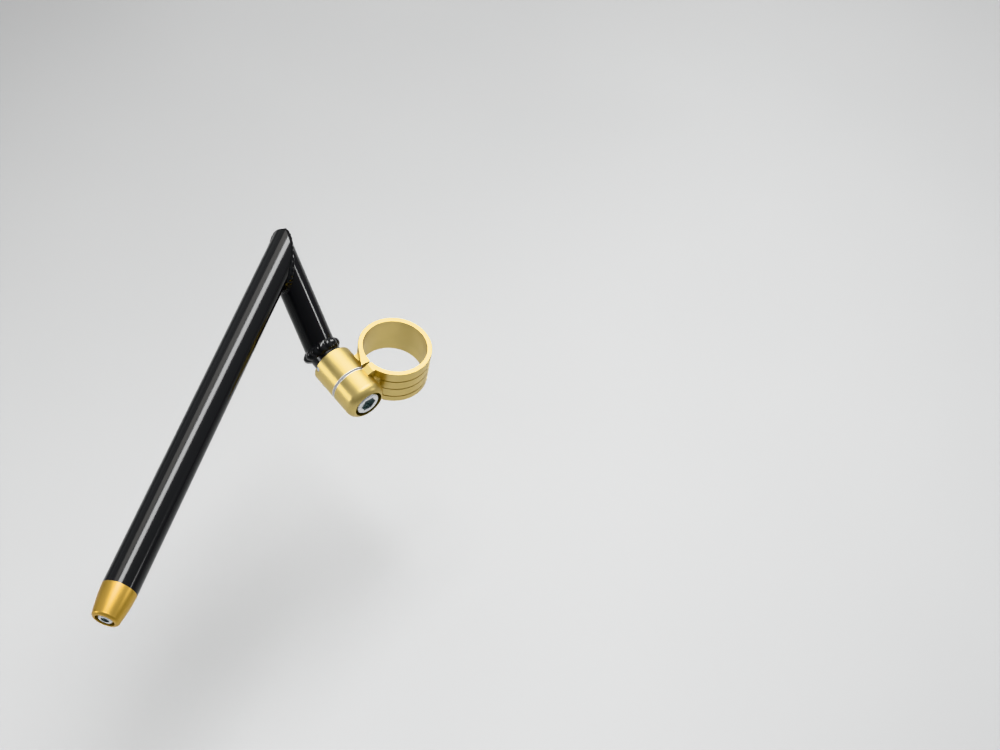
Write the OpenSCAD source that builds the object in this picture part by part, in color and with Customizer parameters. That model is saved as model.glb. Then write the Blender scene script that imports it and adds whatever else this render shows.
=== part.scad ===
// Clip-on handlebar for one fork leg, left-hand side, seen by a rider who looks along +Y.
// The fork leg runs along Z through the split ring, and the origin is the middle of its bore.
// The boss beside the ring lies along Y. A bolt from the front closes the slit, and it holds
// the spigot of the welded bar in the rear half of the boss.

/* [Fork ring] */
// Diameter of the fork leg that the ring closes on
fork_d = 46; // [41:0.5:54]
// Wall of the ring
ring_wall = 3; // [2.5:0.1:5]
// Height of the ring along the fork leg
ring_h = 30; // [26:0.5:40]
// Depth of the turned grooves round the ring
groove_depth = 0.5; // [0.2:0.1:0.8]
// Width of each groove
groove_w = 0.9; // [0.5:0.1:1.5]
// Spacing of the grooves, counted down from the top face
groove_pitch = 8; // [6:0.5:9]
// Number of grooves
groove_count = 3; // [1:1:3]
// Chamfer on the lower outer edge of the ring
ring_foot_chamfer = 1; // [0.4:0.1:1.5]
// Small chamfer on the other edges of the clamp
edge_break = 0.3; // [0.1:0.1:0.5]

/* [Boss] */
// Diameter of the boss beside the ring
boss_d = 30; // [29:0.5:34]
// Wall left between the fork bore and the side of the boss
boss_gap = 0.2; // [0.1:0.1:2]
// Reach of the boss in front of the fork axis
boss_front = 23.3; // [21:0.1:30]
// Reach of the boss behind the fork axis
boss_rear = 20.5; // [18:0.5:30]
// Radius of the rounded front end
boss_round = 6.5; // [3:0.5:7.5]
// Width of the clamping slit
slit_w = 1.8; // [1:0.1:3]
// Distance of the slit in front of the fork axis
slit_y = 1.9; // [0:0.1:3]
// Height of the web between ring and boss
web_h = 17.6; // [14:0.2:20]
// Radius of the hollow at each end of the web
web_end_r = 7.5; // [4:0.1:7.8]
// Overlap of the hollows and of the rear ear with the line of the ring
web_bite = 0.6; // [0.4:0.1:0.8]
// Reach of the two clamping ears beyond the ring, beside the slit
ear_reach = 4.5; // [3.5:0.1:5]
// Length of the front ear from the middle of the slit
ear_len = 7.6; // [5:0.1:9]
// Drop of its sloping face from the ring to the boss
ear_drop = 2; // [1:0.1:3]

/* [Clamp bolt] */
// Thread diameter of the clamp bolt
bolt_d = 12; // [10:1:12]
// Length of the clamp bolt under its head
bolt_len = 30; // [26:1:34]
// Diameter of the bolt head
bolt_head_d = 18; // [16:0.5:18.5]
// Height of the bolt head
bolt_head_h = 12; // [8:0.5:12]
// Width across the flats of its hexagon socket
bolt_hex = 10; // [6:1:10]
// Depth of the hexagon socket
bolt_hex_depth = 6; // [4:0.5:7]
// Depth of the bolt head below the mouth of its recess
bolt_sink = 0.2; // [0:0.1:1]
// Diameter of the recess for the bolt head
recess_d = 21.4; // [20:0.1:22]
// Thickness of the washer under the bolt head
washer_t = 1.6; // [1:0.1:2.5]

/* [Spigot and locating pin] */
// Front end of the spigot, behind the fork axis
spigot_y = 4; // [2:0.5:6]
// Depth of the threaded hole in the spigot
spigot_hole = 20; // [17:0.5:22]
// Diameter of the locating pin
pin_d = 3; // [2:0.5:4]
// Distance of the pin from the rear face of the boss
pin_inset = 2.4; // [2:0.1:4]
// Angle of the pin round the boss, from the top towards the outside
pin_angle = 72; // [30:1:120]
// Distance of the inner end of the pin from the axis of the boss
pin_root = 8; // [7:0.5:9]

/* [Bar] */
// Outer diameter of all bar tube
bar_d = 22.2; // [20:0.1:22.2]
// Wall of the bar tube
bar_wall = 2.5; // [1.5:0.1:3]
// Distance from the rear face of the boss to the first mitre
neck_len = 12.8; // [10:0.1:24]
// Angle at which the stem rises
stem_rise = 46; // [30:1:60]
// Angle at which the stem leans outwards
stem_lean = 3; // [0:0.5:10]
// Length of the stem between its two mitres
stem_len = 73; // [60:1:120]
// Length of the grip tube from the mitre to its end
grip_len = 265.7; // [200:0.1:300]
// Sweep of the grip tube back towards the rider
grip_sweep = 35; // [15:1:45]
// Slope of the grip tube down towards its end
grip_drop = 6.3; // [0:0.1:15]
// Reach of the sharp outer corner, ground back after welding
corner_reach = 19.2; // [18:0.1:20]
// Reach of the weld bead along the tubes at the foot of the stem
base_bead_r = 4.4; // [2:0.1:4.6]
// Height of that bead as a share of its reach
base_bead_rise = 0.55; // [0.4:0.05:1]
// Ripple of that bead as a share of its reach
bead_ripple = 0.07; // [0:0.01:0.12]
// Number of ripples round the joint
bead_lumps = 10; // [6:1:12]
// Reach of the weld bead on the sides of the corner
corner_bead_r = 1.6; // [0.8:0.1:2]
// Height of that bead as a share of its reach
corner_bead_rise = 0.6; // [0.3:0.05:0.7]
// Reach of the weld fillet inside the corner
corner_fill_r = 6; // [3:0.1:6.5]

/* [Bar end] */
// Length of the bar-end weight outside the tube
weight_len = 21; // [12:0.5:60]
// Diameter of the weight at its outer end
weight_end_d = 17.8; // [16.5:0.1:20]
// Rounding of the outer edge of the weight
weight_round = 2; // [0.5:0.1:2.5]
// Share of its taper that is curved
weight_belly = 0.65; // [0:0.05:1]
// Length of the tail of the weight inside the tube
weight_tail = 8; // [4:0.5:12]
// Thread diameter of the bar-end bolt
end_bolt_d = 6; // [5:1:8]
// Length of the bar-end bolt under its head
end_bolt_len = 60; // [56:1:64]
// Diameter of the bar-end bolt head
end_head_d = 10; // [8.5:0.5:11.5]
// Height of the bar-end bolt head
end_head_h = 6; // [5:0.5:8]
// Width across the flats of its hexagon socket
end_hex = 5; // [4:0.5:6]
// Depth of its hexagon socket
end_hex_depth = 3; // [2:0.5:4]
// Depth of the head below the end face of the weight
end_sink = 0.3; // [0:0.1:1]
// Diameter of the recess for the head
end_recess_d = 12.4; // [11.6:0.1:14]
// Thickness of the thrust washer
end_washer_t = 1.5; // [1:0.1:3]
// Length of the rubber sleeve once it is squeezed
rubber_len = 24; // [16:1:24]
// Thickness of the cone nut
nut_len = 8; // [6:0.5:9]
// Diameter of the cone nut at its inner end
nut_small_d = 13; // [12:0.5:14]

/* [Fits] */
// Clearance all round a bolt in a plain hole
bolt_play = 0.5; // [0.2:0.1:1]
// Clearance all round a thread
thread_play = 0.1; // [0.05:0.05:0.2]
// Clearance all round a sliding fit
slide_play = 0.1; // [0.05:0.05:0.3]

/* [Hidden] */
$fn = 96;
SKIN = 0.01;
FAR = 400;

ring_r = fork_d / 2;
ring_out = ring_r + ring_wall;
boss_r = boss_d / 2;
boss_x = -(ring_r + boss_gap + boss_r);
mouth_drop = boss_round - sqrt(pow(boss_round, 2) - pow(max(0, recess_d / 2 - boss_r + boss_round), 2));
mouth_y = -boss_front + mouth_drop;
head_y = mouth_y + bolt_sink;
washer_y = head_y + bolt_head_h;
seat_y = washer_y + washer_t;
hole_r = bolt_d / 2 + bolt_play;
bar_r = bar_d / 2;
bar_bore_r = bar_r - bar_wall;
socket_r = bar_r + slide_play;
pin_y = boss_rear - pin_inset;
pin_len = boss_r - pin_root - edge_break;
foot = [boss_x, boss_rear + neck_len, 0];
stem_dir = [-cos(stem_rise) * sin(stem_lean), cos(stem_rise) * cos(stem_lean), sin(stem_rise)];
grip_dir = [-cos(grip_drop) * cos(grip_sweep), -cos(grip_drop) * sin(grip_sweep), -sin(grip_drop)];
neck_dir = [0, 1, 0];
corner = foot + stem_len * stem_dir;
tube_end = corner + grip_len * grip_dir;
weight_end_r = weight_end_d / 2;
tail_r = bar_bore_r - 2 * slide_play;
end_head_z = weight_len - end_sink - end_head_h;
rubber_z = -weight_tail - end_washer_t - rubber_len;

function unit(v) = v / norm(v);
function mitre_normal(a, b) = unit(a + b);
function mitre_out(a, b) = unit(a - b);
function mitre_long(a, b) = bar_r / (norm(a + b) / 2);

// Turn the Z axis towards a direction.
module aim(d) {
    rotate([0, acos(d[2] / norm(d)), atan2(d[1], d[0])]) children();
}

// The half of space beyond a plane through a point, on the side that the direction names.
module beyond(point, direction) {
    translate(point) aim(direction) translate([-FAR / 2, -FAR / 2, 0]) cube(FAR);
}

// A round bar along Y between two places on the axis of the boss.
module boss_bar(r, from, to) {
    translate([boss_x, from, 0]) rotate([-90, 0, 0]) cylinder(r = r, h = to - from);
}

// A hexagon socket that opens upwards at the origin.
module hex_socket(flats, depth) {
    translate([0, 0, -depth]) cylinder(d = flats / cos(30), h = depth + 1, $fn = 6);
}

// A socket head bolt whose head stands on the plane z = 0 and whose shank points down.
module socket_bolt(shank_d, shank_len, head_d, head_h, flats, depth) {
    head_r = head_d / 2;
    difference() {
        rotate_extrude() polygon([[0, 0], [head_r, 0], [head_r, head_h - edge_break * 2],
                                  [head_r - edge_break * 2, head_h], [0, head_h]]);
        translate([0, 0, head_h]) hex_socket(flats, depth);
    }
    tip = shank_d / 10;
    rotate_extrude() polygon([[0, 0], [shank_d / 2, 0], [shank_d / 2, -shank_len + tip],
                              [shank_d / 2 - tip, -shank_len], [0, -shank_len]]);
}

// The turned ring, with a chamfered foot and shallow grooves. It starts a little inside the bore,
// which is cut last.
module ring_blank() {
    half = ring_h / 2;
    inner = ring_r - 1;
    rotate_extrude() difference() {
        polygon([[inner, -half], [ring_out - ring_foot_chamfer, -half],
                 [ring_out, -half + ring_foot_chamfer], [ring_out, half - edge_break],
                 [ring_out - edge_break, half], [inner, half]]);
        for (i = [1:groove_count])
            translate([ring_out - groove_depth, half - i * groove_pitch - groove_w / 2])
                square([groove_depth + 1, groove_w]);
    }
}

// The boss along Y, with a rounded front end and a chamfered rear edge.
module boss_blank() {
    long = boss_front + boss_rear;
    flat_r = boss_r - boss_round;
    translate([boss_x, -boss_front, 0]) rotate([-90, 0, 0]) rotate_extrude() union() {
        square([flat_r, boss_round]);
        intersection() {
            translate([flat_r, boss_round]) circle(boss_round);
            square([boss_r, boss_round]);
        }
        translate([0, boss_round]) polygon([[0, 0], [boss_r, 0],
            [boss_r, long - boss_round - edge_break * 2],
            [boss_r - edge_break * 2, long - boss_round], [0, long - boss_round]]);
    }
}

// The low web between ring and boss. A round cutter hollows both ends and bites a little into
// the line of the ring.
module web_blank() {
    cut_x = -(ring_out + edge_break);
    away = ring_out + web_end_r - web_bite;
    cut_y = sqrt(pow(away, 2) - pow(cut_x, 2));
    contact_x = cut_x * ring_out / away;
    translate([0, 0, -web_h / 2]) linear_extrude(web_h) difference() {
        translate([boss_x, -cut_y]) square([contact_x - boss_x, 2 * cut_y]);
        for (side = [-1, 1]) translate([cut_x, side * cut_y]) circle(web_end_r);
    }
}

// The front ear beside the slit, whose faces slope from the ring down to the boss.
module front_ear() {
    top = ring_h / 2;
    low = top - ear_drop;
    ear_x = -(ring_out + ear_reach);
    translate([0, -slit_y, 0]) rotate([90, 0, 0]) linear_extrude(ear_len)
        polygon([[ear_x, -low], [-ring_out, -top], [-ring_r, -top],
                 [-ring_r, top], [-ring_out, top], [ear_x, low]]);
}

// The rear ear, whose flat side runs from its tip at the slit to the back of the ring.
module rear_ear() {
    tip = [-(ring_out + ear_reach), -slit_y];
    turn = atan2(tip[1], tip[0]) - acos((ring_out - web_bite / 2) / norm(tip));
    touch = (ring_out - web_bite / 2) * [cos(turn), sin(turn)];
    root = ring_r / ring_out * touch;
    translate([0, 0, -ring_h / 2]) linear_extrude(ring_h)
        polygon([tip, touch, root, [-ring_r, -slit_y]]);
}

module slit() {
    translate([boss_x - boss_r - 1, -slit_y - slit_w / 2, -ring_h])
        cube([boss_r + 1 - boss_x - ring_r / 2, slit_w, ring_h * 2]);
}

// The slot in the rear rim of the boss that the locating pin drops into.
module pin_slot() {
    slot_r = pin_d / 2 + slide_play;
    translate([boss_x, pin_y, 0]) rotate([0, -pin_angle, 0]) {
        translate([0, 0, pin_root]) cylinder(r = slot_r, h = boss_r);
        translate([-slot_r, 0, pin_root]) cube([2 * slot_r, pin_inset + 1, boss_r]);
    }
}

module clamp() color("goldenrod") difference() {
    union() {
        ring_blank();
        boss_blank();
        web_blank();
        front_ear();
        rear_ear();
    }
    translate([0, 0, -ring_h]) cylinder(r = ring_r, h = 2 * ring_h);
    slit();
    boss_bar(recess_d / 2, -boss_front - 1, seat_y);
    boss_bar(hole_r, -boss_front, spigot_y + 1);
    boss_bar(socket_r, spigot_y, boss_rear + 1);
    pin_slot();
}

module clamp_bolt() color("silver")
    translate([boss_x, washer_y, 0]) rotate([90, 0, 0])
        socket_bolt(bolt_d, bolt_len, bolt_head_d, bolt_head_h, bolt_hex, bolt_hex_depth);

module clamp_washer() color("gainsboro") difference() {
    boss_bar(recess_d / 2 - slide_play, washer_y, seat_y);
    boss_bar(hole_r, washer_y - 1, seat_y + 1);
}

module locating_pin() color("lightgray")
    translate([boss_x, pin_y, 0]) rotate([0, -pin_angle, 0])
        translate([0, 0, pin_root]) cylinder(d = pin_d, h = pin_len);

// The turned plug of the bar, threaded for the clamp bolt and mitred for the stem.
module spigot() color("black") difference() {
    boss_bar(bar_r, spigot_y, foot[1] + bar_r);
    boss_bar(bolt_d / 2 + thread_play, spigot_y - 1, spigot_y + spigot_hole);
    beyond(foot, mitre_normal(neck_dir, stem_dir));
    translate([boss_x, pin_y, 0]) rotate([0, -pin_angle, 0])
        translate([0, 0, pin_root]) cylinder(d = pin_d, h = bar_r);
}

module tube_along(start, direction, length) {
    translate(start) aim(direction) difference() {
        cylinder(r = bar_r, h = length);
        translate([0, 0, -1]) cylinder(r = bar_bore_r, h = length + 2);
    }
}

module ground_corner() {
    out = mitre_out(stem_dir, grip_dir);
    beyond(corner + corner_reach * out, out);
}

module stem_tube() color("black") difference() {
    tube_along(foot - bar_r * stem_dir, stem_dir, stem_len + 3 * bar_r);
    beyond(foot, -mitre_normal(neck_dir, stem_dir));
    beyond(corner, mitre_normal(stem_dir, grip_dir));
    ground_corner();
}

module grip_tube() color("black") difference() {
    tube_along(corner - 2 * bar_r * grip_dir, grip_dir, grip_len + 2 * bar_r);
    beyond(corner, -mitre_normal(stem_dir, grip_dir));
    ground_corner();
}

// A weld bead in the groove between two mitred tubes. Each section starts on the joint line,
// reaches along both tube surfaces by its own size and bulges away from them. It closes on
// itself when the angles run all the way round.
module mitre_bead(point, a, b, from, to, sizes, bulge, sides) {
    normal = mitre_normal(a, b);
    out = mitre_out(a, b);
    side = cross(normal, out);
    long = mitre_long(a, b);
    half_chord = norm(a - b) / 2;
    count = len(sizes);
    closed = to - from >= 360;
    step = (to - from) / (closed ? count : count - 1);
    points = [for (i = [0:count - 1])
        let (t = from + i * step,
             root = point + long * cos(t) * out + bar_r * sin(t) * side,
             away = cos(t) * out + sin(t) * side,
             lift = bulge + cos(t) * half_chord)
        for (j = [0:sides - 1])
            let (u = (j - 1) / (sides - 2))
            j == 0 ? root : root + sizes[i] * ((u - 1) * a + u * b + lift * sin(180 * u) * away)];
    walls = [for (i = [0:count - (closed ? 1 : 2)], j = [0:sides - 1])
        let (k = (i + 1) % count, m = (j + 1) % sides)
        [i * sides + j, k * sides + j, k * sides + m, i * sides + m]];
    ends = closed ? [] : [[for (j = [0:sides - 1]) j],
                          [for (j = [sides - 1:-1:0]) (count - 1) * sides + j]];
    polyhedron(points, concat(walls, ends), convexity = 4);
}

// The lumpy bead at the foot of the stem. Its ripples repeat round the joint.
module base_weld() color("black") {
    count = 6 * bead_lumps;
    mitre_bead(foot, neck_dir, stem_dir, 0, 360,
               [for (i = [0:count - 1]) base_bead_r * (1 + bead_ripple * sin(360 * i / 6))],
               base_bead_rise, 8);
}

// The bead round the corner, low on the outer half, swelling to a fillet in the inner angle and
// ground off outside. It fades in over the first few sections, a little past the ground face.
module corner_weld() color("black") {
    count = 49;
    fade = 4;
    thin = 0.2;
    clear = 2;
    long = mitre_long(stem_dir, grip_dir);
    start = acos(corner_reach / long) + clear;
    mitre_bead(corner, stem_dir, grip_dir, start, 360 - start,
               [for (i = [0:count - 1]) let (t = start + (360 - 2 * start) * i / (count - 1))
                corner_bead_r * min(1, thin + min(i, count - 1 - i) / fade)
                + (corner_fill_r - corner_bead_r) * sqrt(max(0, -cos(t)))],
               corner_bead_rise, 7);
}

// The bar-end pieces stand on the end of the grip tube with +Z pointing out of it.
module at_tube_end() {
    translate(tube_end) aim(grip_dir) children();
}

function weight_r(t) = bar_r - (bar_r - weight_end_r) * ((1 - weight_belly) * t + weight_belly * t * t);

module bar_end_weight() color("goldenrod") at_tube_end() difference() {
    straight = weight_len - weight_round;
    rotate_extrude() union() {
        polygon([[0, -weight_tail], [tail_r - edge_break, -weight_tail],
                 [tail_r, -weight_tail + edge_break], [tail_r, 0],
                 for (i = [0:12]) [weight_r(i / 12), straight * i / 12],
                 [weight_end_r - weight_round, straight],
                 [weight_end_r - weight_round, weight_len], [0, weight_len]]);
        intersection() {
            translate([weight_end_r - weight_round, straight]) circle(weight_round);
            translate([0, straight - SKIN]) square([weight_end_r, weight_round + 1]);
        }
    }
    translate([0, 0, end_head_z]) cylinder(d = end_recess_d, h = weight_len);
    translate([0, 0, -weight_tail - 1]) cylinder(r = end_bolt_d / 2 + bolt_play, h = weight_len * 2);
}

module bar_end_bolt() color("silver") at_tube_end() translate([0, 0, end_head_z])
    socket_bolt(end_bolt_d, end_bolt_len, end_head_d, end_head_h, end_hex, end_hex_depth);

// A plain sleeve on the bar-end bolt, with its top face at the given height.
module sleeve(outer_r, inner_r, top, length) {
    translate([0, 0, top - length]) difference() {
        cylinder(r = outer_r, h = length);
        translate([0, 0, -1]) cylinder(r = inner_r, h = length + 2);
    }
}

module thrust_washer() color("silver") at_tube_end()
    sleeve(tail_r, end_bolt_d / 2 + bolt_play, -weight_tail, end_washer_t);

module expander_rubber() color("dimgray") at_tube_end()
    sleeve(bar_bore_r - slide_play / 2, end_bolt_d / 2 + bolt_play,
           -weight_tail - end_washer_t, rubber_len);

module cone_nut() color("silver") at_tube_end() difference() {
    translate([0, 0, rubber_z - nut_len])
        cylinder(r1 = nut_small_d / 2, r2 = tail_r, h = nut_len);
    translate([0, 0, rubber_z - nut_len - 1])
        cylinder(r = end_bolt_d / 2 + thread_play, h = nut_len + 2);
}

clamp();
clamp_bolt();
clamp_washer();
locating_pin();
spigot();
stem_tube();
grip_tube();
base_weld();
corner_weld();
bar_end_weight();
bar_end_bolt();
thrust_washer();
expander_rubber();
cone_nut();
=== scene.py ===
# %% [markdown]
# # Dressing a clip-on handlebar
#
# The object is the left-hand clip-on handlebar of a motorcycle. A gold anodised clamp grips the
# fork leg, and a black steel bar is welded up from a plug, a rising stem and a long grip tube. The
# frame holds the exact solids. This script gives them their finishes, makes finer welds and bolts,
# and lights them as in a small photo studio. Lengths are in metres, and +Z points up along the fork
# leg.

import bpy
import numpy as np
from mathutils import Matrix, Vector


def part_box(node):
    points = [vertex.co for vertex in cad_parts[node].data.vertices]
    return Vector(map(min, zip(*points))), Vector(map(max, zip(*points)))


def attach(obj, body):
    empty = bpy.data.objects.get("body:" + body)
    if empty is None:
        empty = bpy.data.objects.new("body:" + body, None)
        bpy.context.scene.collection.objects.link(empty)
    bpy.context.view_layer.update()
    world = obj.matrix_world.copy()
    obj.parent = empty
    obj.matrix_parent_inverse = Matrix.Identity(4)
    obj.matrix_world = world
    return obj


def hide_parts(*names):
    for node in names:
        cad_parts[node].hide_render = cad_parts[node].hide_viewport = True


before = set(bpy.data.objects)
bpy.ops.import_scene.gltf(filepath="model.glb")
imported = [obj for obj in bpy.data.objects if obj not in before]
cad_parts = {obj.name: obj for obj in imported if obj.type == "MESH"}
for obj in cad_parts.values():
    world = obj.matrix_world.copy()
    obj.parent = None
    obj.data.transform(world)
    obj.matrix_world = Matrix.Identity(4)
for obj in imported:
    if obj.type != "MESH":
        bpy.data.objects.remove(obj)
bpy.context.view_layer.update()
print("solids in the frame:", sorted(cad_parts))

# %% [markdown]
# ## Sizes that the new pieces share with the solids
#
# A finer weld or bolt has to sit exactly where the plain one sits. Its place could be measured on
# the solids, but tubes at a slant don't show their axes in a box. So the few sizes and directions
# that matter are written out once more here, in millimetres as on a drawing, and turned into metres
# in one step. The boss is the round body beside the ring, and the neck is what shows of the plug
# behind it.

# %% Sizes and directions
MM = 0.001
# Radius of both tubes, and their lengths along the axes, from one mitre to the next or to the end.
TUBE_R, STEM_LONG, GRIP_LONG = 11.1 * MM, 73 * MM, 265.7 * MM
# Outer radius of the ring, x of the boss's axis, y of its rear face, and length of the neck.
RING_R, BOSS_X, BOSS_REAR, NECK = 26 * MM, -38.2 * MM, 20.5 * MM, 12.8 * MM
# Saw cut: y of its middle plane, its width, and the x at which the boss takes over from the web.
CUT_Y, CUT_WIDE, CUT_START = -1.9 * MM, 1.8 * MM, -29.5 * MM


def sloped(rise, turn):
    """Unit vector that rises by one angle and is turned from +Y towards -X by the other."""
    rise, turn = np.radians(rise), np.radians(turn)
    return np.array([-np.cos(rise) * np.sin(turn), np.cos(rise) * np.cos(turn), np.sin(rise)])


neck_dir, stem_dir, grip_dir = sloped(0, 0), sloped(46, 3), sloped(-6.3, 125)
foot = np.array([BOSS_X, BOSS_REAR + NECK, 0])
corner = foot + STEM_LONG * stem_dir
tube_end = corner + GRIP_LONG * grip_dir
print("corner at", corner.round(4), "tube ends at", tube_end.round(4))

# %% [markdown]
# ## Writing shaders as sums
#
# A procedural finish is arithmetic on the place of each point. It could be drawn by hand as a web
# of nodes, but that is slow to read and to change. So a small class stands for one output socket.
# Adding or multiplying two of them adds the Math node, and one method adds any other node.

# %% A socket that can be calculated with
class Field:
    """One output socket of a material. Arithmetic on it adds Math nodes to the same material."""

    def __init__(self, tree, socket):
        self.tree, self.socket = tree, socket

    def node(self, kind, settings=None, inputs=None, out=0):
        """Adds a node: first its settings, then the values or links of its sockets."""
        made = self.tree.nodes.new(kind)
        for name, value in (settings or {}).items():
            setattr(made, name, value)
        for name, value in (inputs or {}).items():
            if isinstance(value, Field):
                self.tree.links.new(value.socket, made.inputs[name])
            else:
                made.inputs[name].default_value = value
        return Field(self.tree, made.outputs[out])

    def math(self, operation, *values):
        return self.node("ShaderNodeMath", {"operation": operation}, dict(enumerate(values)))

    def __add__(self, other):
        return self.math("ADD", self, other)

    def __mul__(self, other):
        return self.math("MULTIPLY", self, other)

    def __sub__(self, other):
        return self.math("SUBTRACT", self, other)

    def __rsub__(self, other):
        return self.math("SUBTRACT", other, self)

    __radd__, __rmul__ = __add__, __mul__

    def ramp(self, low, high):
        """0 below low, 1 above high, and a smooth step between them."""
        settings = {"interpolation_type": "SMOOTHSTEP"}
        return self.node("ShaderNodeMapRange", settings, {0: self, 1: low, 2: high})

    def blend(self, first, second):
        """The first colour where this field is 0, and the second where it is 1."""
        settings = {"data_type": "RGBA", "clamp_factor": True}
        return self.node("ShaderNodeMix", settings, {0: self, 6: first, 7: second}, out=2)

    def noise(self, scale, detail=2.0, roughness=0.5):
        """Cloudy values round 0.5 over this vector; scale is in clouds per metre."""
        inputs = {"Vector": self, "Scale": scale, "Detail": detail, "Roughness": roughness}
        return self.node("ShaderNodeTexNoise", {}, inputs)

    def axes(self):
        """The three coordinates of this vector."""
        return [self.node("ShaderNodeSeparateXYZ", {}, {0: self}, out=i) for i in range(3)]


# %% A finish to start from
def finish(name, **constants):
    """A material with one Principled shader, its fixed sockets set, and its Object coordinates."""
    material = bpy.data.materials.new(name)
    material.use_nodes = True
    shader = material.node_tree.nodes["Principled BSDF"]
    for socket, value in constants.items():
        shader.inputs[socket.replace("_", " ")].default_value = value
    place = material.node_tree.nodes.new("ShaderNodeTexCoord").outputs["Object"]
    print("finish:", name)
    return material, shader, Field(material.node_tree, place)


def feed(shader, relief=None, strength=0.0, reach=0.0, **fields):
    """Links fields to the shader's sockets by name, and a relief field through one Bump node."""
    for socket, field in fields.items():
        field.tree.links.new(field.socket, shader.inputs[socket.replace("_", " ")])
    if relief is not None:
        bump = {"Height": relief, "Strength": strength, "Distance": reach}
        normal = relief.node("ShaderNodeBump", {}, bump)
        relief.tree.links.new(normal.socket, shader.inputs["Normal"])


# %% [markdown]
# ## Satin gold aluminium
#
# The clamp and the bar-end weight are turned, bead-blasted and dyed gold in an anodising bath,
# where the weight took up a deeper orange. The gold could be yellow paint with a gloss, but the
# colour of dyed metal sits in its reflections, so the shader is a metal. Blasting leaves a fine
# even grain, which blurs them, and the lathe leaves faint rings. Both are far too small to model,
# so they go into roughness and bump.
#
# The saw cut through the boss came after the dye, so its two walls are bare metal, and so are the
# two lips beside it, which a file has run along. No other face of the boss lies so close to the
# middle plane of the cut, so a mask on one coordinate picks them out.

# %% Gold with lathe rings
CLAMP_GOLD = (0.63, 0.495, 0.205, 1), (0.69, 0.55, 0.24, 1)
WEIGHT_GOLD = (0.585, 0.375, 0.092, 1), (0.65, 0.425, 0.12, 1)
BARE = (0.93, 0.93, 0.93, 1)


def gold_finish(name, tints, rings_of, bare_of=None):
    """Satin gold. rings_of gives the field of the lathe rings, and bare_of a mask of bare metal."""
    material, shader, place = finish(name, Metallic=1.0)
    spot = place.axes()
    rings = rings_of(*spot)
    cloud = place.noise(38.0, 3.0)
    grain = place.noise(5200.0, 2.0, 0.7)
    turned = rings.node("ShaderNodeCombineXYZ", {}, {0: rings}).noise(6500.0)
    colour = cloud.ramp(0.3, 0.7).blend(*tints)
    rough = 0.33 + 0.05 * cloud + 0.05 * grain
    if bare_of is not None:
        bare = bare_of(*spot)
        colour, rough = bare.blend(colour, BARE), rough + 0.1 * bare
        feed(shader, Metallic=1.0 - 0.5 * bare)
    feed(shader, 0.6 * grain + 0.4 * turned, 0.12, 0.02 * MM, Base_Color=colour, Roughness=rough)
    return material


# %% Gold for the clamp and for the weight
LIP, SOFT = 0.25 * MM, 0.05 * MM


def from_axis(first, second):
    """Distance from an axis, out of the two coordinates across it."""
    return first.math("SQRT", first * first + second * second)


def clamp_rings(x, y, z):
    """Height plus radius round the fork bore on the ring, and round the boss's axis elsewhere."""
    from_bore = from_axis(x, y)
    on_boss = from_bore.ramp(RING_R + 0.2 * MM, RING_R + 0.6 * MM)
    return (1.0 - on_boss) * (z + from_bore) + on_boss * (y + from_axis(x - BOSS_X, z))


def saw_cut(x, y, z):
    """1 where y is within half the cut's width plus LIP of its middle, and x is in the boss."""
    off = y.math("ABSOLUTE", y - CUT_Y)
    in_boss = 1.0 - x.ramp(CUT_START - 0.3 * MM, CUT_START + 0.3 * MM)
    return in_boss * (1.0 - off.ramp(CUT_WIDE / 2 + LIP, CUT_WIDE / 2 + LIP + SOFT))


def along_grip(x, y, z):
    """Distance along the grip tube, which is what rings round it follow."""
    return x * grip_dir[0] + y * grip_dir[1] + z * grip_dir[2]


gold_clamp = gold_finish("gold_aluminium_clamp", CLAMP_GOLD, clamp_rings, saw_cut)
gold_weight = gold_finish("gold_aluminium_weight", WEIGHT_GOLD, along_grip)

# %% [markdown]
# ## Gloss black paint
#
# The bar is painted after welding, so one skin covers tubes and beads alike, and one material
# serves them all. It is a black base under a clear, smooth coat. Two mixed shaders could show that,
# but the Principled shader has a coat of its own, which is simpler. Sprayed paint never dries quite
# flat: it keeps a shallow ripple a few millimetres wide, called orange peel, which makes the edges
# of reflections waver. It is far shallower than it is wide, so bump is enough for it.

# %% Black paint
BLACK, PAINT_DUST = (0.0155, 0.0155, 0.016, 1), (0.029, 0.028, 0.027, 1)


def paint_finish(name):
    """Black base with a little dust in it, under a clear coat with orange peel."""
    material, shader, place = finish(name, Coat_Weight=0.66, Coat_Roughness=0.14, Coat_IOR=1.6,
                                     Specular_IOR_Level=0.02)
    peel = place.noise(420.0, 2.0)
    dust = place.noise(2600.0, 3.0, 0.7).ramp(0.62, 0.8)
    feed(shader, peel, 0.05, 0.05 * MM, Base_Color=dust.blend(BLACK, PAINT_DUST),
         Roughness=0.12 + 0.08 * place.noise(60.0) + 0.1 * dust)
    return material


black_paint = paint_finish("black_paint_bar")

# %% [markdown]
# ## Zinc-plated steel and rubber
#
# Bolts, washers, pin and cone nut are bright zinc over steel: grey with a faint cool tint, patchy
# in gloss, with fine scratches from the barrel that they were plated in. Inside the socket of a
# bolt the colour is painted shade, a little darker and greener. That could be a second material on
# its faces, but the change would be a hard line. Instead each bolt carries a number at every point,
# the attribute "recess", which is 1 inside the socket and 0 elsewhere, and the finish blends on it.
#
# The rubber sleeve inside the tube is matt and dusty.

# %% Zinc and rubber
# The last colour on the next line is painted shade for the inside of a bolt's socket.
ZINC_DULL, ZINC_BRIGHT, SOCKET_SHADE = (0.62, 0.64, 0.67, 1), (0.74, 0.75, 0.75, 1), (0.56, 0.6, 0.605, 1)
RUBBER, RUBBER_DUST = (0.016, 0.016, 0.016, 1), (0.05, 0.048, 0.045, 1)


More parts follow.
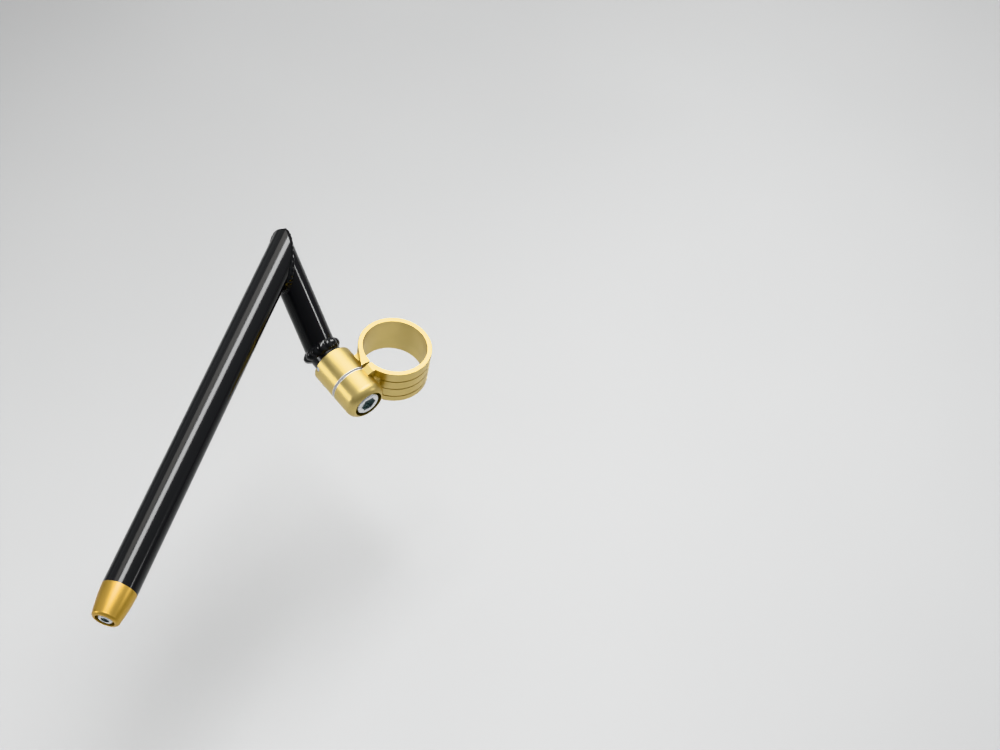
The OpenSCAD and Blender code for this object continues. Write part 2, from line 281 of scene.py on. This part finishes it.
def zinc_finish(name):
    """Bright zinc with cloudy roughness and short scratches, and painted shade inside a socket."""
    material, shader, place = finish(name, Metallic=1.0)
    recess = place.node("ShaderNodeAttribute", {"attribute_name": "recess"}, out="Fac")
    cloud = place.noise(260.0, 3.0)
    scratch = place.noise(3000.0, 4.0, 0.8)
    plated = cloud.ramp(0.25, 0.75).blend(ZINC_DULL, ZINC_BRIGHT)
    # Inside the socket, where recess is 1, the colour is painted shade.
    feed(shader, scratch, 0.15, 0.01 * MM, Base_Color=recess.blend(plated, SOCKET_SHADE),
         Roughness=0.2 + 0.16 * cloud)
    return material


def rubber_finish(name):
    """Matt black rubber with a fine moulded grain and pale dust in patches."""
    material, shader, place = finish(name)
    grain = place.noise(2400.0, 3.0, 0.6)
    dust = place.noise(150.0, 4.0, 0.65).ramp(0.5, 0.85)
    feed(shader, grain, 0.3, 0.08 * MM, Base_Color=dust.blend(RUBBER, RUBBER_DUST),
         Roughness=0.62 + 0.25 * grain)
    return material


zinc = zinc_finish("zinc_steel_fasteners")
rubber = rubber_finish("black_rubber_sleeve")

# %% [markdown]
# ## Surfaces from a grid
#
# Each new piece is a skin: a grid of points whose columns run round the piece and whose rows run
# along it. It could be modelled by hand with Blender's tools, but a formula keeps its sizes exact,
# and numpy works out all the points at once. Joining each point to its neighbours gives the faces,
# and a fan to one point closes an open end. A closed skin's volume, summed face by face, is
# positive only if the faces look outwards, so it also tells whether to turn them round.

# %% From a grid to an object
def skin(name, grid, material, crease, rows_close=False, tip=None, tail=None):
    """Object from a grid (rows, columns, 3) whose columns close. tip and tail close its ends."""
    rows, columns = grid.shape[:2]
    index = np.arange(rows * columns).reshape(rows, columns)
    low = index if rows_close else index[:-1]
    high = np.roll(index, -1, axis=0) if rows_close else index[1:]
    quads = np.stack([low, np.roll(low, -1, 1), np.roll(high, -1, 1), high], -1).reshape(-1, 4)
    points, fans = [grid.reshape(-1, 3)], []
    for end, row, way in ((tip, index[0], 1), (tail, index[-1], -1)):
        if end is not None:
            pole = np.full(columns, rows * columns + len(fans))
            points.append(np.reshape(end, (1, 3)))
            fans.append(np.stack([pole, np.roll(row, -1), row], -1)[:, ::way])
    points = np.concatenate(points)
    triangles = np.concatenate([quads[:, [0, 1, 2]], quads[:, [0, 2, 3]], *fans])
    a, b, c = points[triangles].transpose(1, 0, 2) - points.mean(axis=0)
    volume = np.einsum("ij,ij->", a, np.cross(b, c)) / 6
    outwards = 1 if volume > 0 else -1
    faces = [face for part in [quads, *fans] for face in part[:, ::outwards].tolist()]
    mesh = bpy.data.meshes.new(name)
    mesh.from_pydata(points.tolist(), [], faces)
    mesh.polygons.foreach_set("use_smooth", [True] * len(mesh.polygons))
    mesh.set_sharp_from_angle(angle=np.radians(crease))
    piece = bpy.data.objects.new(name, mesh)
    bpy.context.scene.collection.objects.link(piece)
    piece.data.materials.append(material)
    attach(piece, "root")
    print(name, len(triangles), "triangles", round(abs(volume) * 1e9), "mm3")
    return piece


# %% [markdown]
# ## Weld beads
#
# A welder lays a bead as a row of overlapping drops. Each drop freezes with a curved rim that bows
# back along the joint, so the bead looks like a pushed-over stack of coins. It could be a bent ring
# with the ripples as bump, but such a ring stands off one tube and sinks into the other, and its
# outline stays smooth. Here the bead is one surface of two parameters: t runs round the mitre, and
# u runs over the bead from one tube to the other. Its two toes slide along the tubes' own surfaces,
# so no gap can open, and the rims are a wave in t whose phase depends on u.

# %% The bead as a surface
def long_radius(a, b):
    """Half the longer axis of the ellipse in which tubes of directions a and b meet."""
    return TUBE_R / (np.linalg.norm(a + b) / 2)


def bead(name, point, a, b, turn, reach, rise, drops, rim, lumps=0.0, closed=True):
    """Weld bead in the mitre of two tubes with directions a and b.

    At angle t round the joint the root lies on both tubes. The bead is the root, plus reach times
    (u - 1) a + u b along the tubes, plus reach times rise times sin(pi u) straight away from them.
    The rim height times |cos(drops t / 2 + bow)| is added outwards, and lumps swell the reach.
    """
    out, side = (a - b) / np.linalg.norm(a - b), np.cross(a + b, a - b)
    side = side / np.linalg.norm(side)
    t = turn[:, None, None]
    u = np.linspace(0, 1, 21)[None, :, None]
    away = np.cos(t) * out + np.sin(t) * side
    root = point + long_radius(a, b) * np.cos(t) * out + TUBE_R * np.sin(t) * side
    swell = 1 + lumps * np.sin(10 * t) * (0.6 + 0.4 * np.sin(3 * t))
    size = np.reshape(reach, (-1, 1, 1)) * swell
    lift = rise + np.cos(t) * np.linalg.norm(a - b) / 2
    bow = 0.9 * np.sin(np.pi * u)
    wave = np.abs(np.cos(drops * t / 2 + bow)) ** 1.5 * rim * np.sin(np.pi * u) ** 0.5
    crown = size * ((u - 1) * a + u * b + lift * np.sin(np.pi * u) * away) + wave * away
    core = root - 0.2 * MM * away
    grid = np.concatenate([core, root + crown], axis=1)
    if closed:
        return skin(name, grid, black_paint, crease=60, rows_close=True)
    return skin(name, grid, black_paint, crease=60, tip=grid[0].mean(0), tail=grid[-1].mean(0))


# %% Bead at the foot of the stem
around = np.linspace(0, 2 * np.pi, 900, endpoint=False)
base_bead = bead("base_weld_bead", foot, neck_dir, stem_dir, around,
                 reach=np.full(around.size, 4.4 * MM), rise=0.55, drops=13, rim=0.8 * MM,
                 lumps=0.07)
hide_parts("base_weld")

# %% [markdown]
# The bead at the top corner is thin on the two sides and swells to a fillet inside the corner. The
# sharp outer point was ground back after welding, and the bead with it. A closed ring could be cut
# there with a boolean, but it is cleaner not to make that stretch at all, so the surface starts
# just beside the ground face, runs round the inside and fades out towards both ends.

# %% Bead round the corner
GROUND_AT = 19.2 * MM
start = np.arccos(GROUND_AT / long_radius(stem_dir, grip_dir)) + np.radians(2)
swept = np.linspace(start, 2 * np.pi - start, 700)
fade = np.minimum(1, 0.2 + np.minimum(swept - start, 2 * np.pi - start - swept) / 0.45)
fillet = np.sqrt(np.maximum(0, -np.cos(swept)))
corner_bead = bead("corner_weld_bead", corner, stem_dir, grip_dir, swept,
                   reach=(1.6 * fade + 4.4 * fillet) * MM, rise=0.6, drops=40, rim=0.25 * MM,
                   closed=False)
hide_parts("corner_weld")

# %% [markdown]
# ## Socket head bolts
#
# A socket head bolt is forged, knurled round the head so that fingers can turn it, and rolled with
# a thread. It could be a cylinder with a hexagon cut out of it and a helix added, but booleans
# leave long thin faces that spoil the gloss. So one grid covers all of it: its rows follow the
# outline from the bottom of the socket up its walls, over the face, down the knurled flank, and
# along shank and thread to the point. Every row is a circle, except where the angle bends it into a
# hexagon, a knurl or a helix.

# %% The outline of a bolt
ROUND = 240
SOCKET_ROWS = 4
KNURLS, KNURL_DEEP = 60, 0.35 * MM


def head_outline(angle, head, tall, flats, deep):
    """Rows (radius, height) from the bottom of the socket over the head to its seat on z = 0.

    Hexagon: radius = flats / 2 / cos(angle from the nearest flat's middle). Knurl: the radius falls
    by a triangle wave of the angle.
    """
    flat = (angle + np.pi / 3) % (np.pi / 3) - np.pi / 6
    hexagon = flats / 2 / np.cos(flat)
    knurl = np.abs((angle * KNURLS / (2 * np.pi)) % 1 - 0.5) * 2 * KNURL_DEEP
    face, flank = head / 2 - 0.9 * MM, head / 2
    socket = [(0.5 * hexagon, tall - deep - 0.15 * MM), (0.97 * hexagon, tall - deep),
              (hexagon, tall - deep + 0.05 * MM), (hexagon, tall - 0.14 * MM)]
    top = [(hexagon + 0.02 * MM, tall - 0.12 * MM), (hexagon + 0.14 * MM, tall), (face, tall),
           (face + 0.12 * MM, tall - 0.02 * MM), (flank - 0.2 * MM - 0.3 * knurl, tall - 0.6 * MM)]
    knurled = [(flank - knurl, z) for z in np.linspace(tall - 0.8 * MM, 1.2 * MM, 8)]
    plain = [(flank - 0.25 * MM, 0.9 * MM), (flank, 0.75 * MM), (flank, 0.2 * MM),
             (flank - 0.2 * MM, 0)]
    return socket + top + knurled + plain


def shank_outline(angle, shank, length, pitch, thread):
    """Rows (radius, height) from the seat down the shank to the point of the bolt.

    Thread: the radius falls by a cosine of 2 pi z / pitch minus the angle, which makes a helix.
    """
    start, radius = -(length - thread), shank / 2
    plain = [(radius + 0.3 * MM, 0), (radius, -0.3 * MM), (radius, start + 0.2 * MM)]
    z = np.arange(start, -length + 0.8 * MM, -pitch / 8)
    groove = 0.27 * pitch * (1 - np.cos(2 * np.pi * z[:, None] / pitch - angle))
    point = [(0.4 * shank, -length + 0.1 * MM), (0.36 * shank, -length)]
    return plain + list(zip(radius - groove, z)) + point


# %% A bolt as one skin
def bolt(name, seat, turn, shank, length, head, tall, flats, deep, pitch, thread):
    """Socket head bolt: its outline round +Z, turned by a matrix, its seat moved to a point."""
    angle = np.linspace(0, 2 * np.pi, ROUND, endpoint=False)
    rows = head_outline(angle, head, tall, flats, deep)
    rows += shank_outline(angle, shank, length, pitch, thread)
    radius = np.array([out + 0 * angle for out, z in rows])
    height = np.array([z + 0 * angle for out, z in rows])
    turn = np.array(turn).T
    ends = np.array([[0, 0, tall - deep - 0.3 * MM], [0, 0, -length]]) @ turn + seat
    grid = np.stack([radius * np.cos(angle), radius * np.sin(angle), height], axis=-1) @ turn + seat
    piece = skin(name, grid, zinc, crease=40, tip=ends[0], tail=ends[1])
    # The recess attribute marks the socket's walls and bottom, where the zinc finish paints shade.
    recess = np.zeros(len(piece.data.vertices), dtype=np.float32)
    socket_bottom = len(rows) * ROUND
    recess[:SOCKET_ROWS * ROUND], recess[socket_bottom] = 1, 1
    piece.data.attributes.new("recess", "FLOAT", "POINT").data.foreach_set("value", recess)
    return piece


def facing(direction, roll=0.0):
    """Rotation that takes +Z to a direction, as the drawing's own turning does, after a roll."""
    x, y, z = direction
    tilt, spin = np.arccos(z), np.arctan2(y, x)
    turn = Matrix.Rotation(spin, 3, "Z") @ Matrix.Rotation(tilt, 3, "Y")
    return turn @ Matrix.Rotation(np.radians(roll), 3, "Z")


# %% Clamp bolt and bar-end bolt
HEAD_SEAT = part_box("clamp_washer")[0][1]
clamp_screw = bolt("clamp_bolt_fine", np.array([BOSS_X, HEAD_SEAT, 0]), facing((0, -1, 0), 90),
                   shank=12 * MM, length=30 * MM, head=18 * MM, tall=12 * MM, flats=10 * MM,
                   deep=6 * MM, pitch=1.75 * MM, thread=24 * MM)
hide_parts("clamp_bolt")

WEIGHT_LONG, SUNK, END_HEAD = 21 * MM, 0.3 * MM, 6 * MM
end_seat = tube_end + (WEIGHT_LONG - SUNK - END_HEAD) * grip_dir
end_screw = bolt("bar_end_bolt_fine", end_seat, facing(grip_dir),
                 shank=6 * MM, length=60 * MM, head=10 * MM, tall=END_HEAD, flats=5 * MM,
                 deep=3 * MM, pitch=1.0 * MM, thread=24 * MM)
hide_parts("bar_end_bolt")
print("clamp bolt seat at y =", round(HEAD_SEAT, 5), "end bolt seat at", end_seat.round(4))

# %% [markdown]
# ## Finishes for the solids that stay
#
# The clamp, the tubes, the weight and the small hidden pieces already have their exact shape. They
# could be copied and refined, but nothing on them is rounder or rougher than the solids show. So
# they keep their shape and only change their finish, by putting a new material in each of their
# slots.

# %% Dress the solids
dress = {"clamp": gold_clamp, "bar_end_weight": gold_weight, "spigot": black_paint,
         "stem_tube": black_paint, "grip_tube": black_paint, "locating_pin": zinc,
         "clamp_washer": zinc, "thrust_washer": zinc, "cone_nut": zinc, "expander_rubber": rubber}
for node, material in dress.items():
    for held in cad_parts[node].material_slots:
        held.material = material
    print(node, "wears", material.name)

# %% [markdown]
# ## A small photo studio
#
# Glossy black shows nothing but its lights, so the lights decide how it looks. The floor is pale
# grey paper, and the room is a world of soft grey, lighter on the side where the lamps hang. Real
# paper looks darker further from the lamps. Shifting the lamps could do that, but it would shift
# every highlight on the paint too. So that fall-off is painted shade in the paper's colour: it is
# a little darker towards the back, above all at the back on the left, and towards the front on
# the right.

# %% Floor and room
FLOOR_R, FLOOR_Z = 8.0, -200 * MM
DIM, LIGHT = (0.36, 0.36, 0.365, 1), (0.58, 0.59, 0.6, 1)


def disc(name, radius, height, points=64):
    """Flat round floor: one face whose points are at equal angles on a circle."""
    turn = np.linspace(0, 2 * np.pi, points, endpoint=False)
    rim = np.stack([radius * np.cos(turn), radius * np.sin(turn), 0 * turn + height], -1)
    mesh = bpy.data.meshes.new(name)
    mesh.from_pydata(rim.tolist(), [], [list(range(points))])
    floor = bpy.data.objects.new(name, mesh)
    bpy.context.scene.collection.objects.link(floor)
    return floor


floor = disc("paper_floor", FLOOR_R, FLOOR_Z)
paper, paper_shader, place = finish("grey_paper", Roughness=0.9)
x, y, z = place.axes()
# Painted shade: the paper's colour darkens towards the back, the back left and the front right.
back = (x * 0.2 + y * 0.94).ramp(-0.35, 0.8)
back_left = (y * 0.94 - x * 0.6).ramp(0.36, 0.86)
front_right = (x * 0.6 - y * 0.9).ramp(0.05, 1.2)
shade = 0.485 - 0.19 * back - 0.08 * back_left - 0.12 * front_right + 0.03 * place.noise(3.0)
feed(paper_shader, place.noise(900.0, 3.0), 0.1, 0.1 * MM,
     Base_Color=shade.blend((0, 0, 0, 1), (0.998, 1, 1, 1)))
floor.data.materials.append(paper)

world = bpy.data.worlds.new("studio")
bpy.context.scene.world = world
world.use_nodes = True
tree = world.node_tree
x, y, z = Field(tree, tree.nodes.new("ShaderNodeTexCoord").outputs["Generated"]).axes()
lamp_side = (x * 0.3 + y * 0.5 + z * 0.8).ramp(-0.3, 0.6)
tree.links.new(lamp_side.blend(DIM, LIGHT).socket, tree.nodes["Background"].inputs["Color"])
print("floor at z =", round(floor.data.vertices[0].co.z, 3), "world:", world.name)

# %% [markdown]
# One long softbox hangs above the bar and draws the bright line along the grip tube. A wide, dim
# and slightly warm panel behind it fills the gold and the slope beside that line. A small card on
# the left lights the boss from the side. The line on the stem comes from a lamp on the right, which
# is far away and slants across the grip tube, so that it leaves no spot there. Painted highlights
# could show the same lines from one side only, but lamps place them right from every side.

# %% Lamps
MIDDLE = np.array([-0.09, 0.02, 0.01])


def softbox(name, direction, distance, wide, high, glow, along, tint=(1, 1, 1)):
    """Area lamp that looks at the object. glow is its brightness head-on, white paper being 1."""
    away = np.array(direction) / np.linalg.norm(direction)
    first = np.array(along) - away * np.dot(along, away)
    first = first / np.linalg.norm(first)
    lamp = bpy.data.lights.new(name, "AREA")
    lamp.shape, lamp.size, lamp.size_y = "RECTANGLE", wide, high
    lamp.energy, lamp.color = glow * np.pi * wide * high, tint
    holder = bpy.data.objects.new(name, lamp)
    bpy.context.scene.collection.objects.link(holder)
    turn = Matrix([first, np.cross(away, first), away]).transposed().to_4x4()
    holder.matrix_world = Matrix.Translation(MIDDLE + away * distance) @ turn
    print(name, wide, "x", high, "m,", distance, "m away,", round(lamp.energy, 1), "W")


softbox("long_softbox", (0.33, 0.20, 0.92), 2.2, 2.3, 0.80, 12.2, (-0.98, -0.20, 0))
softbox("wide_panel", (0.16, 0.59, 0.79), 2.4, 1.8, 1.0, 1.7, (-0.987, -0.16, 0), (1.0, 0.97, 0.92))
softbox("right_lamp", (0.702, -0.604, 0.344), 10.0, 1.5, 0.5, 22.0, (0.62, 0.59, -0.51))
softbox("left_card", (-0.88, 0.47, 0.09), 1.8, 0.62, 0.52, 5.4, (0.48, 0.87, 0))

# %% [markdown]
# ## The camera
#
# The photograph's camera stands on the rider's side of the bar, towards its outer end, and looks
# down on it by about fifty degrees, slightly rolled. It could be moved by eye until the picture
# fits, but its place and focal length were worked out from the outlines of the tubes and of the
# ring, which is more exact. The view transform is the neutral one, which keeps the gold as strong
# as its finish sets it.

# %% Camera
STAND, FOCAL_MM, SENSOR_MM = (-0.46553, -0.48522, 0.82333), 53.77, 36.0
right = np.array([0.76376492, -0.62667435, 0.15473336])
up = np.array([0.42089468, 0.66523732, 0.61669034])
forward = np.array([0.48939842, 0.40587999, -0.77184883])
camera_data = bpy.data.cameras.new("photo_camera")
camera_data.lens, camera_data.sensor_width = FOCAL_MM, SENSOR_MM
camera_data.clip_start, camera_data.clip_end = 0.01, 50.0
camera = bpy.data.objects.new("photo_camera", camera_data)
bpy.context.scene.collection.objects.link(camera)
camera.matrix_world = (Matrix.Translation(STAND)
                       @ Matrix([right, up, -forward]).transposed().to_4x4())
bpy.context.scene.camera = camera
bpy.context.scene.view_settings.view_transform = "Khronos PBR Neutral"
print("camera looks down by", round(np.degrees(np.arcsin(-forward[2])), 1), "degrees")
